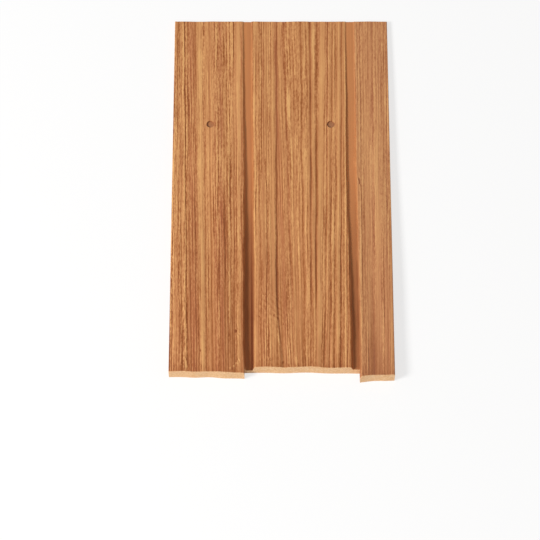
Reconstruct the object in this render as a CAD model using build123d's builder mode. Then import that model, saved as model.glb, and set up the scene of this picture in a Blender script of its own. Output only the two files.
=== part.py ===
"""Moulded shake shingle: one tapered tile with three split planks, two keyways and a ribbed underside.

The tile lies flat. +Z is up, +Y runs from the thick butt to the thin head, and the origin is at the
bottom centre of the tile's bounding box. All lengths are in millimetres, and angles in degrees.
"""

import os
from math import exp, pi, sin, tanh

from build123d import *

# Overall size
tile_width = 305.0
tile_length = 559.0
half_width = tile_width / 2
half_length = tile_length / 2

# Height of the plank tops and of the two keyway floors at the butt and at the head
plank_height_butt = 20.5
plank_height_head = 7.6
first_web_butt = 8.0
first_web_head = 6.4
second_web_butt = 13.0
second_web_head = 6.6

# Keyways: width of the floor, run of each sloping wall, middle of the floor at the butt and its drift
keyway_floor = 9.4
keyway_run = 2.4
first_keyway_butt = -44.0
first_keyway_drift = -4.2
second_keyway_butt = 100.2
second_keyway_drift = -1.6

# Butts: how far the two ends of each one stand back from the longest point, their sawn waver, and how far
# outside the floors of the keyways they step
left_butt = (8.0, 5.5)
centre_butt = (14.0, 13.0)
right_butt = (0.0, 3.0)
butt_waver = 0.6
butt_waver_pitch = 14.0
first_step_inset = 1.5
second_step_inset = 0.6

# Split faces: height, spacing and start angle of each wave across the grain
left_waves = ((0.75, 47.0, 0.6), (0.35, 29.0, 2.1))
centre_waves = ((0.60, 61.0, 4.1), (0.30, 33.0, 0.9))
right_waves = ((0.55, 34.0, 1.4),)

# The wave down the grain, how far the grain leans, and the share of the relief left at the head
long_wave = 0.55
long_wave_spacing = 330.0
long_wave_turn = 95.0
grain_lean = 0.035
relief_at_head = 0.35

# The torn hollow along the split of the centre plank
split_at_butt = 2.0
split_at_head = -7.0
split_bend = -155.0
split_depth = 1.5
split_lip = 3.0
split_run_out = 24.0

# Cross-sections that the tile is lofted through
profile_pitch = 12.0
section_count = 6
section_overrun = 12.0

# Underside: skin and walls left round the pockets, and the pocket rows either side of the nailing band
skin = 5.2
outer_wall = 6.0
keyway_wall = 4.5
rib = 4.0
pocket_corner = 4.0
pocket_draft = 3.0
pocket_length = 48.0
butt_wall_line = -258.0
butt_rows = 6
head_wall_line = 268.0
head_rows = 2
left_columns = 2
centre_columns = 3
right_columns = 1

# Nail seats in the head lap: their depth is below the mean face, and they are cut from above its waves
nail_seat_radius = 5.5
nail_seat_depth = 2.6
nail_seat_entry = 3.0
nail_seat_spacing = 170.0
nail_seat_middle = -15.0
nail_line = 110.0

# Rounded arris along the tops of the butts, the long sides and the keyways: the edges that take it are at
# least this long, and their middles stand at least this high
arris = 1.0
arris_shortest = 30.0
arris_lowest = 11.5

# Values that follow from the dimensions above
floor_half = keyway_floor / 2
section_edge = half_width + section_overrun
section_pitch = (tile_length + 2 * section_overrun) / (section_count - 1)
row_pitch = pocket_length + rib
butt_row_lines = [butt_wall_line + row_pitch * row for row in range(butt_rows)]
head_row_lines = [head_wall_line + rib - row_pitch * (row + 1) for row in range(head_rows)]


def nearness(y):
    """How near y is to the butt: 0 at the head, 1 at the butt."""
    return (half_length - y) / tile_length


def tapered(y, at_butt, at_head):
    """A size that changes evenly from the butt to the head."""
    return at_head + (at_butt - at_head) * nearness(y)


def floor_middle(y, at_butt, drift):
    """Middle of a keyway's floor, which drifts across the tile towards the head."""
    return at_butt + drift * (1 - nearness(y))


def split_line(y):
    """The centre plank's split: straight down from the head, then veering right near the butt."""
    veer = max(0.0, (split_bend - y) / (split_bend + half_length))
    return split_at_head + (split_at_butt - split_at_head) * veer


def split_hollow(x, y):
    """Depth of the torn hollow: steep at the split, running out to its right."""
    across = x - split_line(y)
    opened = (1 + tanh(across / split_lip)) / 2
    return split_depth * opened * exp(-max(across, 0.0) / split_run_out)


def plank_height(x, y, waves, torn):
    """Height of a split face: the taper, waves across the leaning grain and a long one down it."""
    across = x + grain_lean * y
    relief = sum(rise * sin(2 * pi * across / spacing + start) for rise, spacing, start in waves)
    relief += long_wave * sin(2 * pi * (y / long_wave_spacing + across / long_wave_turn))
    if torn:
        relief -= split_hollow(x, y)
    return tapered(y, plank_height_butt, plank_height_head) + relief * tapered(y, 1.0, relief_at_head)


def plank_profile(left, right, y, waves, torn=False):
    """Points along a plank's top in the section at y, from its left arris to its right one."""
    spans = max(3, round((right - left) / profile_pitch))
    places = [left + (right - left) * step / spans for step in range(spans + 1)]
    return [(x, plank_height(x, y, waves, torn)) for x in places]


def butt_points(left, right, setbacks):
    """Points along a butt in plan, wavering between its two set-back ends."""
    spans = max(3, round((right - left) / butt_waver_pitch))
    points = []
    for step in range(spans + 1):
        share = step / spans
        back = setbacks[0] + (setbacks[1] - setbacks[0]) * share
        waver = butt_waver * sin(pi * share) * (1 + sin(2 * pi * 2.3 * share))
        points.append((left + (right - left) * share, back + waver - half_length))
    return points


# The pocket core: rows of drafted pockets under the planks, each row as deep as the taper lets it be
with BuildPart() as pocket_core:
    first_left = first_keyway_butt + first_keyway_drift - floor_half - keyway_wall
    first_right = first_keyway_butt + floor_half + keyway_wall
    second_left = second_keyway_butt + second_keyway_drift - floor_half - keyway_wall
    second_right = second_keyway_butt + floor_half + keyway_wall
    plank_bays = (
        (outer_wall - half_width, first_left, left_columns),
        (first_right, second_left, centre_columns),
        (second_right, half_width - outer_wall, right_columns),
    )
    for row_line in butt_row_lines + head_row_lines:
        head_end = row_line + pocket_length
        with BuildSketch() as row_plan:
            for bay_left, bay_right, columns in plank_bays:
                column_pitch = (bay_right - bay_left + rib) / columns
                with Locations(((bay_left + bay_right) / 2, row_line + pocket_length / 2)):
                    with GridLocations(column_pitch, row_pitch, columns, 1):
                        Rectangle(column_pitch - rib, pocket_length)
            chamfer(row_plan.vertices(), pocket_corner)
        extrude(amount=tapered(head_end, plank_height_butt, plank_height_head) - skin, taper=pocket_draft)

with BuildPart() as shingle:
    # The body, lofted through sections that all have the same edges in the same order
    for section in range(section_count):
        y = section_pitch * section - half_length - section_overrun
        first_web = tapered(y, first_web_butt, first_web_head)
        second_web = tapered(y, second_web_butt, second_web_head)
        first = floor_middle(y, first_keyway_butt, first_keyway_drift)
        second = floor_middle(y, second_keyway_butt, second_keyway_drift)
        wall_out = floor_half + keyway_run
        left_top = plank_profile(-section_edge, first - wall_out, y, left_waves)
        centre_top = plank_profile(first + wall_out, second - wall_out, y, centre_waves, torn=True)
        right_top = plank_profile(second + wall_out, section_edge, y, right_waves)
        with BuildSketch(Plane.XZ.offset(-y)):
            with BuildLine():
                Polyline(left_top[0], (-section_edge, -section_overrun), (section_edge, -section_overrun),
                         right_top[-1])
                Spline(right_top[::-1])
                Polyline(right_top[0], (second + floor_half, second_web), (second - floor_half, second_web),
                         centre_top[-1])
                Spline(centre_top[::-1])
                Polyline(centre_top[0], (first + floor_half, first_web), (first - floor_half, first_web),
                         left_top[-1])
                Spline(left_top[::-1])
            make_face()
    loft()

    # The outline in plan, with the three butts stepped at the keyways
    with BuildSketch():
        with BuildLine():
            first_step = first_keyway_butt - floor_half - first_step_inset
            second_step = second_keyway_butt + floor_half + second_step_inset
            left_edge = butt_points(-half_width, first_step, left_butt)
            centre_edge = butt_points(first_step, second_step, centre_butt)
            right_edge = butt_points(second_step, half_width, right_butt)
            Spline(left_edge)
            Line(left_edge[-1], centre_edge[0])
            Spline(centre_edge)
            Line(centre_edge[-1], right_edge[0])
            Spline(right_edge)
            Polyline(right_edge[-1], (half_width, half_length), (-half_width, half_length), left_edge[0])
        make_face()
    extrude(amount=2 * plank_height_butt, mode=Mode.INTERSECT)

    # The arris, on the long curved edges that stand higher than the keyway floors
    curved_edges = shingle.edges().filter_by(GeomType.BSPLINE)
    long_edges = curved_edges.filter_by(lambda edge: edge.length > arris_shortest)
    fillet(long_edges.filter_by(lambda edge: edge.center().Z > arris_lowest), arris)

    # The hollow underside
    add(pocket_core.part, mode=Mode.SUBTRACT)

    # Blind round seats for the nail heads
    seat_face = tapered(nail_line, plank_height_butt, plank_height_head)
    with Locations((nail_seat_middle, nail_line, seat_face + nail_seat_entry)):
        with GridLocations(nail_seat_spacing, 0, 2, 1):
            Hole(nail_seat_radius, nail_seat_entry + nail_seat_depth)

shingle.part.label = "shake_shingle"

os.makedirs("parts", exist_ok=True)
export_step(shingle.part, "parts/shake_shingle.step")
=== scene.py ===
"""Moulded shake shingle: the split-wood face, the sawn butts and the ribbed underside of one tapered tile.

The tile lies flat, +Z up, with its thick butt towards -Y. Shapes are worked out in millimetres and become
metres when they are made into meshes.
"""

from collections import namedtuple
from math import cos, pi, radians, sin
from types import SimpleNamespace

import bpy
import numpy as np
from bpy.props import FloatProperty, FloatVectorProperty, IntProperty, PointerProperty
from bpy.types import Operator, Panel, PropertyGroup
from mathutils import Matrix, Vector


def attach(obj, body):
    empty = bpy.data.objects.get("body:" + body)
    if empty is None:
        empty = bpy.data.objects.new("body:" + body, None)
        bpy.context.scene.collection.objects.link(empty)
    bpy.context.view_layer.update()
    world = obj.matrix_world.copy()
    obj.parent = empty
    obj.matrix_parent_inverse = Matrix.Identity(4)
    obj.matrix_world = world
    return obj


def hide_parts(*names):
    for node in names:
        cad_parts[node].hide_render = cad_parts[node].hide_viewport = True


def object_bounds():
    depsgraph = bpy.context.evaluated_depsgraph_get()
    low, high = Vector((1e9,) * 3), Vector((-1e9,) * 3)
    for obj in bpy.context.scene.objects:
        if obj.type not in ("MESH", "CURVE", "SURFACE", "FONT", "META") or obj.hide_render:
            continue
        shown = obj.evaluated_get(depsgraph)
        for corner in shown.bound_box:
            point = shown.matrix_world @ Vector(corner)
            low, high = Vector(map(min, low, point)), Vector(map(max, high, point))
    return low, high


bl_info = {
    "name": "Moulded Shake Shingle",
    "version": (1, 0, 0),
    "blender": (4, 5, 0),
    "location": "3D View > Sidebar > Shake Shingle",
    "description": "Builds the split-wood face and ribbed underside of a moulded shake shingle",
    "category": "Add Mesh",
}

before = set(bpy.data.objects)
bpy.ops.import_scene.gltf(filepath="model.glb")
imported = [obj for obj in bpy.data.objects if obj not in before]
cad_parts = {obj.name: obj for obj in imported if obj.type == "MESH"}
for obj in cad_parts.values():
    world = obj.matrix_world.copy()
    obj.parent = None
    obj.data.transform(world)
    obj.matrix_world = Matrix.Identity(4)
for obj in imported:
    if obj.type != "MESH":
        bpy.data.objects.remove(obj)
cad_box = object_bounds()

MM = 0.001
TILE_NODE = "shake_shingle"

# Waves across the grain of each plank: height, spacing and start angle
LEFT_WAVES = ((0.75, 47.0, 0.6), (0.35, 29.0, 2.1))
CENTRE_WAVES = ((0.60, 61.0, 4.1), (0.30, 33.0, 0.9))
RIGHT_WAVES = ((0.55, 34.0, 1.4),)

# The long wave down the grain, the lean of the waves, and the share of the relief left at the head
LONG_WAVE = 0.55
LONG_WAVE_SPACING = 330.0
LONG_WAVE_TURN = 95.0
GRAIN_LEAN = 0.035
RELIEF_AT_HEAD = 0.35

# How far the left and the right wall of each keyway stand outwards of a straight line, along the tile
FIRST_WALLS = (
    ((-262, 0.0), (-245, 0.5), (-200, 1.0), (-137, 0.6), (-76, -0.2), (-14, -0.2), (45, -0.9), (160, 0.0)),
    ((-265, 0.2), (-240, 0.5), (-210, 0.8), (-150, 1.3), (-88, 1.3), (-26, 0.9), (60, 0.9), (160, 0.0)),
)
SECOND_WALLS = (
    ((-265, -0.8), (-210, -1.2), (-150, -0.8), (-88, 0.0), (-26, 1.2), (60, 1.6), (160, 0.0)),
    ((-262, 0.0), (-200, 0.5), (-137, 0.0), (-76, -0.4), (-14, -0.2), (45, -1.3), (160, 0.0)),
)

# Height and spacing of the walls' small wavers, the least height that a wall is reckoned with, how wide the
# rounding of its arris is on a gentle wall and how it grows with the slope, and the share of that at its foot
WALL_LONG_WAVER = (0.20, 71.0)
WALL_SHORT_WAVER = (0.12, 29.0)
LEAST_WALL = 0.3
ARRIS_SOFTNESS = 0.25
ARRIS_SOFTNESS_RISE = 0.55
FOOT_SOFTNESS = 0.4

# Butts: how far the ends of each stand back from the longest point, the waver of the saw cut, and how often
# it swings along each one
LEFT_BUTT = (8.0, 5.5)
CENTRE_BUTT = (14.0, 13.0)
RIGHT_BUTT = (0.0, 3.0)
BUTT_WAVER = 0.6
BUTT_TURNS = (2.3, 2.3, 0.8)

# The torn hollow beside the split of the centre plank
SPLIT_AT_BUTT = 2.0
SPLIT_ABOVE = -7.0
SPLIT_BEND = -155.0
SPLIT_DEPTH = 1.5
SPLIT_LIP = 1.3
SPLIT_RUN_OUT = 24.0
SPLIT_WAVER = ((0.35, 83.0, 0.4), (0.2, 31.0, 2.0))

# How open the crack along the split is, at places along the tile, how far right of the split it lies, its
# half width where it is closed and fully open, its depth, and the darkness and reddish cast of its painted
# shade
CRACK_SHARE = (
    (-270.0, 0.0), (-255.0, 0.1), (-235.0, 0.6), (-185.0, 0.5), (-150.0, 1.0), (-100.0, 1.0), (40.0, 0.85),
)
CRACK_OFFSET = 0.6
CRACK_HALF_WIDTHS = (0.6, 1.2)
CRACK_DEPTH = 0.45
CRACK_PAINTED_SHADE = -1.05
CRACK_SHADE_RED = 0.5

# Where the exposed face starts and ends along the tile
EXPOSURE_LINE = 40.0
BUTT_LINE = -270.0

# Steps of the mesh across and along the tile, closer where an arris turns, and the heights of the rows down
# the side walls as shares of the rim's height
COLUMN_PITCH = 0.56
EXPOSED_ROW_PITCH = 3.3
COVERED_ROW_PITCH = 7.0
EXPOSED_MARGIN = 20.0
ARRIS_STEPS = (0.15, 0.4, 0.8, 1.3)
LIP_STEPS = (0.25, 0.55, 0.9, 1.4)
WALL_COLUMNS = 8
FLOOR_COLUMNS = 8
OUTER_BUTT_ROWS = 9
SIDE_LEVELS = (0.93, 0.72, 0.45, 0.2, 0.0)

# How far up the tile the rows still follow the waver of the butts
BUTT_SHAPE_REACH = 40.0

# Pockets: rows near the butt and near the head, columns under each plank, draft, points of a rounded corner,
# how far a core reaches below the tile, and how high the rounding of its top is
BUTT_ROWS = 6
HEAD_ROWS = 2
LEFT_COLUMNS = 2
CENTRE_COLUMNS = 3
RIGHT_COLUMNS = 1
POCKET_DRAFT = radians(3.0)
CORNER_POINTS = 5
CORE_BELOW = 1.0
CEILING_ROUND = 0.8

# Sizes that the geometry trees of the pockets, the nail seats and the grain take as inputs
CORE_SIZES = ("Rib", "Pocket Length", "Corner", "Skin", "Tile Length", "Butt Height", "Head Height", "Below",
              "Ceiling Round", "Draft")
SEAT_SIZES = ("Seat Radius", "Seat Depth", "Seat Spacing", "Seat Middle", "Nail Line")
GRAIN_SIZES = ("Ring Height", "Ring Spacing", "Ridge Height", "Ridge Pitch", "Fibre Height", "Fibre Pitch")

# Nail seats: how many, the sides of each round one, and the drill's length in depths of a seat
SEAT_COUNT = 2
SEAT_SIDES = 48
DRILL_LENGTHS = 3.0

# How near corners of the cores have to be to become one, and the angle above which an edge stays sharp
WELD_DISTANCE = 0.00001
SHARP_ANGLE = radians(42.0)

# How dark the painted shade in the keyways is, at places along the tile
KEYWAY_SHADES = (
    (-270.0, 0.36), (-240.0, 0.41), (-185.0, 0.51), (-125.0, 0.46), (-65.0, 0.36), (0.0, 0.20), (40.0, 0.10),
)

# The feet of a keyway's left and right wall: their places in half floors from its middle, how far their
# painted shade reaches, how dark it makes them in each keyway (lighter where below zero), and how strong that
# is along the tile
FOOT_PLACES = (-0.9, 0.95)
FOOT_REACH = 0.26
FOOT_SHADES = ((-0.12, 0.68), (-0.24, 0.24))
FOOT_STRENGTH = ((-230.0, 1.0), (-20.0, 0.3))

# How each grain line fans out: its place across the tile at the butt, and its shift by the exposure line
GRAIN_FAN = (
    (-152.5, -1.8), (-131.0, -6.5), (-106.0, -6.3), (-83.0, -5.7), (-70.0, -3.7), (-54.0, -2.3),
    (-35.0, -1.2), (-9.0, -1.1), (2.0, -9.0), (12.0, -10.5), (17.0, -7.0), (26.0, -4.0), (35.0, -0.8),
    (43.0, 1.2), (50.0, 6.2), (64.0, 5.2), (76.0, 4.5), (90.0, 2.5), (108.0, 1.0), (117.0, 1.8),
    (125.0, 3.3), (140.0, 4.7), (152.5, 3.2),
)

# The grain lines that are worked out across the tile, how many of them a turn of the fan is smoothed over,
# the steps from butt to exposure line, and the waver that all lines share with its lean across them
GRAIN_REACH = 170.0
GRAIN_LINES = 681
FAN_SMOOTHING = 21
FAN_STEPS = 200
GRAIN_WAVER = ((0.25, 171.0, 0.3), (0.08, 61.0, 1.9))
GRAIN_WAVER_LEAN = 0.6

# How strong the fine grain is across the tile, at places given at the butt
GRAIN_STRENGTH = (
    (-152.5, 1.25), (-140.0, 1.20), (-128.0, 0.95), (-118.0, 0.62), (-106.0, 0.80), (-94.0, 0.60),
    (-83.0, 0.85), (-71.0, 0.80), (-60.0, 0.58), (-48.0, 0.60), (-36.0, 0.60), (-8.0, 0.62), (2.0, 0.70),
    (24.0, 0.50), (40.0, 0.54), (90.0, 0.56), (108.0, 0.56), (152.5, 0.66),
)

# A split or ridge along the grain: place across at the butt, half width, height, then how light and how
# red it is, how much it calms the fine grain, and where it fades in and out along the tile
Streak = namedtuple("Streak", "at wide high light red calm start end", defaults=(0.0, 0.0, -400.0, 400.0))

# How far a streak wanders, how strong it is on average, how much it swells and breaks up (on the light
# streaks these breaks are painted glints of fibres catching the light), and how far its ends fade
STREAK_DRIFT = 0.16
STREAK_MEAN = 0.88
STREAK_LONG_SWELL = 0.20
STREAK_SHORT_SWELL = 0.10
STREAK_GLINT_AND_BREAK = 0.08
STREAK_FADE = 14.0

LEFT_STREAKS = (
    Streak(-145.5, 1.8, 0.15, 0.15, 0.2),
    Streak(-139.5, 0.8, -0.30, -0.50),
    Streak(-135.0, 0.8, -0.30, -0.50),
    Streak(-130.0, 1.0, 0.50, 0.90),
    Streak(-127.0, 0.7, -0.35, -0.60),
    Streak(-121.5, 0.6, -0.25, -0.50),
    Streak(-118.0, 5.5, -0.10, -0.10, 0.7),
    Streak(-114.0, 0.8, -0.35, -0.55),
    Streak(-106.0, 3.1, 0.60, 0.66, -0.3, 0.7),
    Streak(-100.5, 0.6, -0.25, -0.36),
    Streak(-96.5, 1.8, 0.15, 0.25),
    Streak(-92.5, 0.6, -0.25, -0.32),
    Streak(-90.5, 0.7, 0.25, 0.32),
    Streak(-87.0, 1.8, 0.00, 0.00, 0.6),
    Streak(-83.0, 0.8, -0.60, -0.90, 0.2, 0.0, -150.0, 5.0),
    Streak(-79.0, 2.4, -0.10, -0.20, 0.8),
    Streak(-74.5, 0.8, -0.55, -0.80, 0.2, 0.0, -130.0, 10.0),
    Streak(-69.5, 1.5, 0.15, 0.30),
    Streak(-67.0, 0.7, 0.25, 0.32),
    Streak(-63.0, 0.7, -0.30, -0.32),
    Streak(-57.0, 1.9, 0.35, 0.48, 0.0, 0.4),
    Streak(-53.5, 0.9, -0.10, -0.30, 0.7),
)
CENTRE_STREAKS = (
    Streak(-35.5, 0.9, 0.10, 0.70),
    Streak(-32.0, 1.4, 0.10, 0.05),
    Streak(-27.5, 0.6, -0.20, -0.35),
    Streak(-24.5, 1.5, 0.00, 0.00, 0.5),
    Streak(-18.5, 0.8, -0.35, -0.40, 0.1, 0.0, -150.0, -5.0),
    Streak(-15.0, 1.5, 0.10, 0.08),
    Streak(-9.0, 1.8, 0.30, 0.35, 0.0, 0.3),
    Streak(7.0, 3.0, -0.10, -0.15, 0.6),
    Streak(12.0, 1.8, 0.10, 0.10),
    Streak(16.5, 1.2, -0.20, -0.30, 0.4),
    Streak(20.5, 0.7, 0.20, 0.35),
    Streak(26.0, 1.7, 0.15, 0.25),
    Streak(31.5, 0.7, -0.25, -0.45),
    Streak(35.5, 1.5, 0.15, 0.25),
    Streak(40.5, 0.9, -0.70, -0.90, 0.1, 0.0, -175.0, 400.0),
    Streak(43.5, 1.0, 0.25, 0.45),
    Streak(46.0, 1.1, -0.90, -1.00, 0.1, 0.0, -175.0, 400.0),
    Streak(50.0, 2.4, 0.35, 0.42, 0.0, 0.5),
    Streak(57.5, 0.8, -0.50, -0.66),
    Streak(60.5, 0.8, 0.20, 0.30),
    Streak(64.5, 0.8, -0.50, -0.66),
    Streak(67.5, 1.0, 0.20, 0.32),
    Streak(71.5, 0.8, -0.45, -0.60),
    Streak(75.5, 1.7, 0.40, 0.48, 0.0, 0.4),
    Streak(80.0, 1.3, -0.75, -0.80, 0.2),
    Streak(86.5, 1.4, 0.35, 0.48),
    Streak(89.5, 0.8, -0.15, -0.40, 0.3),
)
RIGHT_STREAKS = (
    Streak(108.5, 0.9, 0.10, 0.36),
    Streak(112.5, 0.6, -0.20, -0.22),
    Streak(117.0, 0.9, 0.15, 0.16),
    Streak(120.5, 0.6, -0.20, -0.22),
    Streak(124.5, 1.4, -0.25, -0.48, 0.5),
    Streak(130.0, 1.9, 0.20, 0.20, 0.0, 0.4),
    Streak(135.0, 1.7, 0.00, 0.00, 0.5),
    Streak(139.5, 0.7, -0.20, -0.28),
    Streak(144.0, 1.0, -0.30, -0.42, 0.6),
    Streak(147.5, 1.5, 0.15, 0.24),
)

# A broad cast of the finish: its middle, how far it reaches across and along, and how light and red it is
Patch = namedtuple("Patch", "x y across along light red")

PATCHES = (
    Patch(-135.0, -230.0, 13.0, 80.0, -0.13, 0.00),
    Patch(-117.0, -190.0, 8.0, 150.0, -0.24, 0.12),
    Patch(-106.0, -200.0, 5.0, 80.0, 0.18, 0.00),
    Patch(-80.0, -200.0, 19.0, 150.0, -0.34, 0.18),
    Patch(-61.5, 10.0, 4.0, 70.0, -0.28, 0.10),
    Patch(-84.0, -30.0, 14.0, 70.0, -0.06, 0.15),
    Patch(-24.0, -170.0, 13.0, 70.0, -0.18, 0.00),
    Patch(4.0, -60.0, 8.0, 130.0, -0.14, 0.15),
    Patch(10.0, -230.0, 14.0, 60.0, 0.10, 0.00),
    Patch(127.0, -265.0, 12.0, 32.0, -0.32, 0.20),
    Patch(117.0, -40.0, 9.0, 90.0, -0.08, 0.00),
    Patch(118.0, -170.0, 9.0, 50.0, 0.18, 0.00),
    Patch(133.0, 20.0, 18.0, 100.0, 0.40, 0.10),
)

# How much of the dull cast the narrow plank has
DULL_SHARE = 0.16

# How much lighter or darker the face is near the butt and near the exposure line
TONE_AT_BUTT = -0.11
TONE_AT_EXPOSURE_LINE = 0.09

# A small chip, dent or scuff in the face: its middle, half its width and length, how far it leans across for
# each millimetre along, and how light it is
Mark = namedtuple("Mark", "x y across along lean light")

MARKS = (
    Mark(-62.2, -211.6, 2.0, 3.0, 0.0, -2.4),
    Mark(-60.2, -208.0, 0.8, 2.4, -0.3, -0.7),
    Mark(-57.4, -215.5, 1.5, 2.2, -0.6, 0.6),
    Mark(-59.6, -219.5, 0.9, 2.6, 0.0, 0.5),
    Mark(-109.7, -240.8, 1.0, 2.8, 0.0, -1.4),
    Mark(-57.4, -254.5, 1.1, 4.0, -0.4, 0.8),
    Mark(-60.8, -259.0, 2.4, 1.8, 0.0, 0.6),
    Mark(-60.0, -252.0, 0.9, 5.0, 0.0, -0.8),
    Mark(-64.4, -263.4, 1.4, 2.4, 0.4, 0.8),
    Mark(-69.6, -266.6, 1.8, 1.6, 0.0, 0.7),
    Mark(-66.8, -267.6, 1.2, 2.4, 0.0, -0.6),
    Mark(-127.6, -256.0, 0.9, 15.0, -0.30, -0.8),
    Mark(-129.8, -257.0, 0.9, 13.0, -0.28, 0.6),
    Mark(-134.2, -262.0, 0.9, 6.0, -0.15, -0.9),
    Mark(-117.0, -264.0, 1.0, 7.0, -0.10, -0.8),
    Mark(-108.6, -264.0, 0.9, 4.5, 0.0, -0.8),
    Mark(-144.5, -264.0, 1.3, 5.0, 0.20, -0.7),
    Mark(-10.4, -187.6, 1.0, 3.2, 0.0, -1.2),
    Mark(-5.6, -192.1, 1.1, 2.8, 0.0, -1.3),
    Mark(-30.0, -190.0, 1.0, 2.0, -0.6, -0.7),
    Mark(-26.5, -178.5, 1.0, 2.0, -0.6, -0.7),
    Mark(2.4, -200.6, 0.9, 2.8, -0.3, -0.9),
    Mark(5.6, -197.8, 1.0, 2.0, 0.0, 0.6),
    Mark(7.6, -204.2, 0.9, 3.0, 0.0, -0.8),
    Mark(-25.4, -159.0, 0.9, 1.5, 0.0, 0.7),
    Mark(-21.3, -159.0, 0.9, 1.5, 0.0, 0.7),
    Mark(8.8, -159.0, 1.0, 2.0, 0.0, 0.7),
    Mark(-3.6, -226.5, 0.9, 17.0, -0.25, 0.7),
    Mark(-15.6, -253.5, 0.9, 4.5, 0.0, -1.0),
    Mark(-17.6, -254.0, 0.8, 5.0, 0.0, 0.6),
    Mark(1.8, -258.2, 1.8, 3.4, 0.2, -0.7),
    Mark(19.0, -255.0, 3.0, 9.0, -0.25, 0.45),
    Mark(22.6, -262.0, 0.9, 4.0, -0.3, -0.8),
    Mark(-22.4, 44.0, 0.9, 16.0, -0.03, -0.9),
    Mark(-20.9, 16.0, 0.9, 16.0, -0.09, -1.0),
    Mark(-19.4, -10.0, 0.8, 16.0, 0.0, -0.7),
    Mark(108.9, 18.0, 1.1, 8.0, -0.13, -3.2),
    Mark(106.4, 20.0, 0.9, 5.0, -0.10, 0.6),
    Mark(86.5, -57.7, 0.9, 2.0, 0.0, 1.0),
    Mark(86.9, -64.0, 0.8, 3.0, 0.0, 0.5),
    Mark(146.8, -16.0, 0.8, 17.0, 0.0, -0.9),
    Mark(145.2, 30.0, 0.8, 8.0, -0.04, -0.8),
)

# How strongly the marks show, the scale of the noise that frays their edges, and how far it moves them
MARK_SHARE = 0.45
FRAY_SCALE = 500.0
FRAY_REACH = (0.0022, 0.0030, 0.0)

# Where tool ripples cross the grain: their middle, half their width and length, their pitch and tone, how
# they lean, how their crests turn, and the noises that bend them and break them up
RIPPLE_PLACE = (-15.0, -180.0)
RIPPLE_REACH = (26.0, 34.0)
RIPPLE_PITCH = 7.0
RIPPLE_LIGHT = -0.13
RIPPLE_SLANT = (0.72, 0.69)
RIPPLE_CREST = (-0.6, 1.0, -0.6, 1.0)
RIPPLE_BEND_SCALE = 45.0
RIPPLE_BEND = 1.5
RIPPLE_BREAK_SCALE = 300.0
RIPPLE_BREAK_FADE = (0.35, 0.65)

# Noises along the grain that raise it: how many times longer than wide their spots are, and their level
RIDGE_NOISE = (160.0, 0.0)
FIBRE_NOISE = (75.0, 11.3)
RING_WANDER_NOISE = (90.0, 4.7)
RING_PATCH_NOISE = (9.0, 21.9)

# Growth rings: how wide the noises that bend them and fade them are in ring spacings, how far they bend, how
# narrow their valleys are, how deep, how high their crests are, and how they fade with the noise
RING_WANDER_WIDTH = 2.6
RING_PATCH_WIDTH = 3.2
RING_WANDER = 0.7
RING_VALLEY_POWER = 2.2
RING_VALLEY = -2.0
RING_CREST = 0.65
RING_PATCH_FADE = (-0.35, 0.35, 0.25, 1.0)

# The share of rings, ridges and fibres in the mark of the grain's crests
RING_CREST_SHARE = 0.80
RIDGE_CREST_SHARE = 0.25
FIBRE_CREST_SHARE = 0.85

# What a place of the mesh belongs to: how far from the face and from the butt it may be to count as face and
# as sawn, how far below the face and inside the edges it is underneath, and how near the sides and the steps
# of the butts it has to be to count as there
ON_FACE = 0.4
SAWN_FADE = 0.9
UNDER_FACE = 0.8
INSIDE_EDGE = 1.0
AT_SIDE = 0.5
AT_STEP = 0.01

# How far in from the edges the raised grain fades, how much of it the keyways lose, the share of it left at
# the head, and how far the darkening near the butts reaches
EDGE_FADE = 2.0
KEYWAY_SMOOTHING = 0.75
GRAIN_AT_HEAD = 0.45
BUTT_EDGE_REACH = 7.0

# A layer of the tone along the grain: its pitch in metres, how many times longer than wide, and its level
Layer = namedtuple("Layer", "name pitch stretch level")

GRAIN_LAYERS = (
    Layer("Bands", 0.016, 22.0, 3.1),
    Layer("Runs", 0.0065, 60.0, 41.7),
    Layer("Streaks", 0.0024, 150.0, 8.4),
    Layer("Fibres", 0.0015, 60.0, 15.2),
    Layer("Dashes", 0.0014, 16.0, 33.9),
    Layer("Flecks", 0.0011, 4.5, 27.5),
)

# How much each thing lightens the split face, from its middle value
MIDDLE_VALUE = 0.53
FINE_SHARES = (("Streaks", 0.25), ("Fibres", 1.75), ("Dashes", 0.75), ("Flecks", 1.30))
CREST_SHARE = 0.32
RUN_FADE = (0.38, 0.62, 0.45, 1.25)
BAND_SHARE = 0.30
LIGHT_SHARE = 0.44
BUTT_EDGE_DARKENING = -0.14

# Values of the face at which it has the groove, brown, middle, tan and pale colours
TONE_STOPS = (0.06, 0.30, 0.50, 0.70, 0.95)

# Where the reddish cast comes from: the streaks' share in its noise, the noise's fade, and the strengths of
# the casts that are placed and of the noise
RED_STREAKS = 0.5
RED_FADE = (0.70, 0.95)
RED_SHARE = 0.45
RED_NOISE_SHARE = 0.15

# The keyways' unevenness, the speckle of the sawn butts, the mottling of the underside, and how far down a
# side has to face to belong to it
KEYWAY_UNEVEN = 0.35
SPECKLE_SCALE = 420.0
SPECKLE_FADE = (0.35, 0.7)
MOTTLE_SCALE = 60.0
MOTTLE_FADE = (0.3, 0.7, 0.0, 0.25)
FACING_DOWN = -0.7

# The bump: shares of fibres and speckle, strength and height, then how the roughness goes with the streaks,
# how much rougher the keyways' depths are, and how strongly the polymer bends light
BUMP_SHARES = (0.7, 0.3)
BUMP_STRENGTH = 0.55
BUMP_HEIGHT = 0.0004
ROUGHNESS_FADE = (0.3, 0.7, 0.72, 0.58)
HOLLOW_ROUGHNESS = 0.4
REFRACTION = 1.46

# Stage: how white the camera sees the floor, its half width, where the lamp stands and shines, the width of
# the camera's sensor in millimetres and how far it sees
FLOOR_WHITE_SHARE = 0.7
FLOOR_REACH = 6.0
KEY_PLACE = (-3.10, -1.60, 3.10)
KEY_AIM = (0.0, -0.1, 0.0)
SENSOR_WIDTH = 36.0
VIEW_END = 50.0


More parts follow.
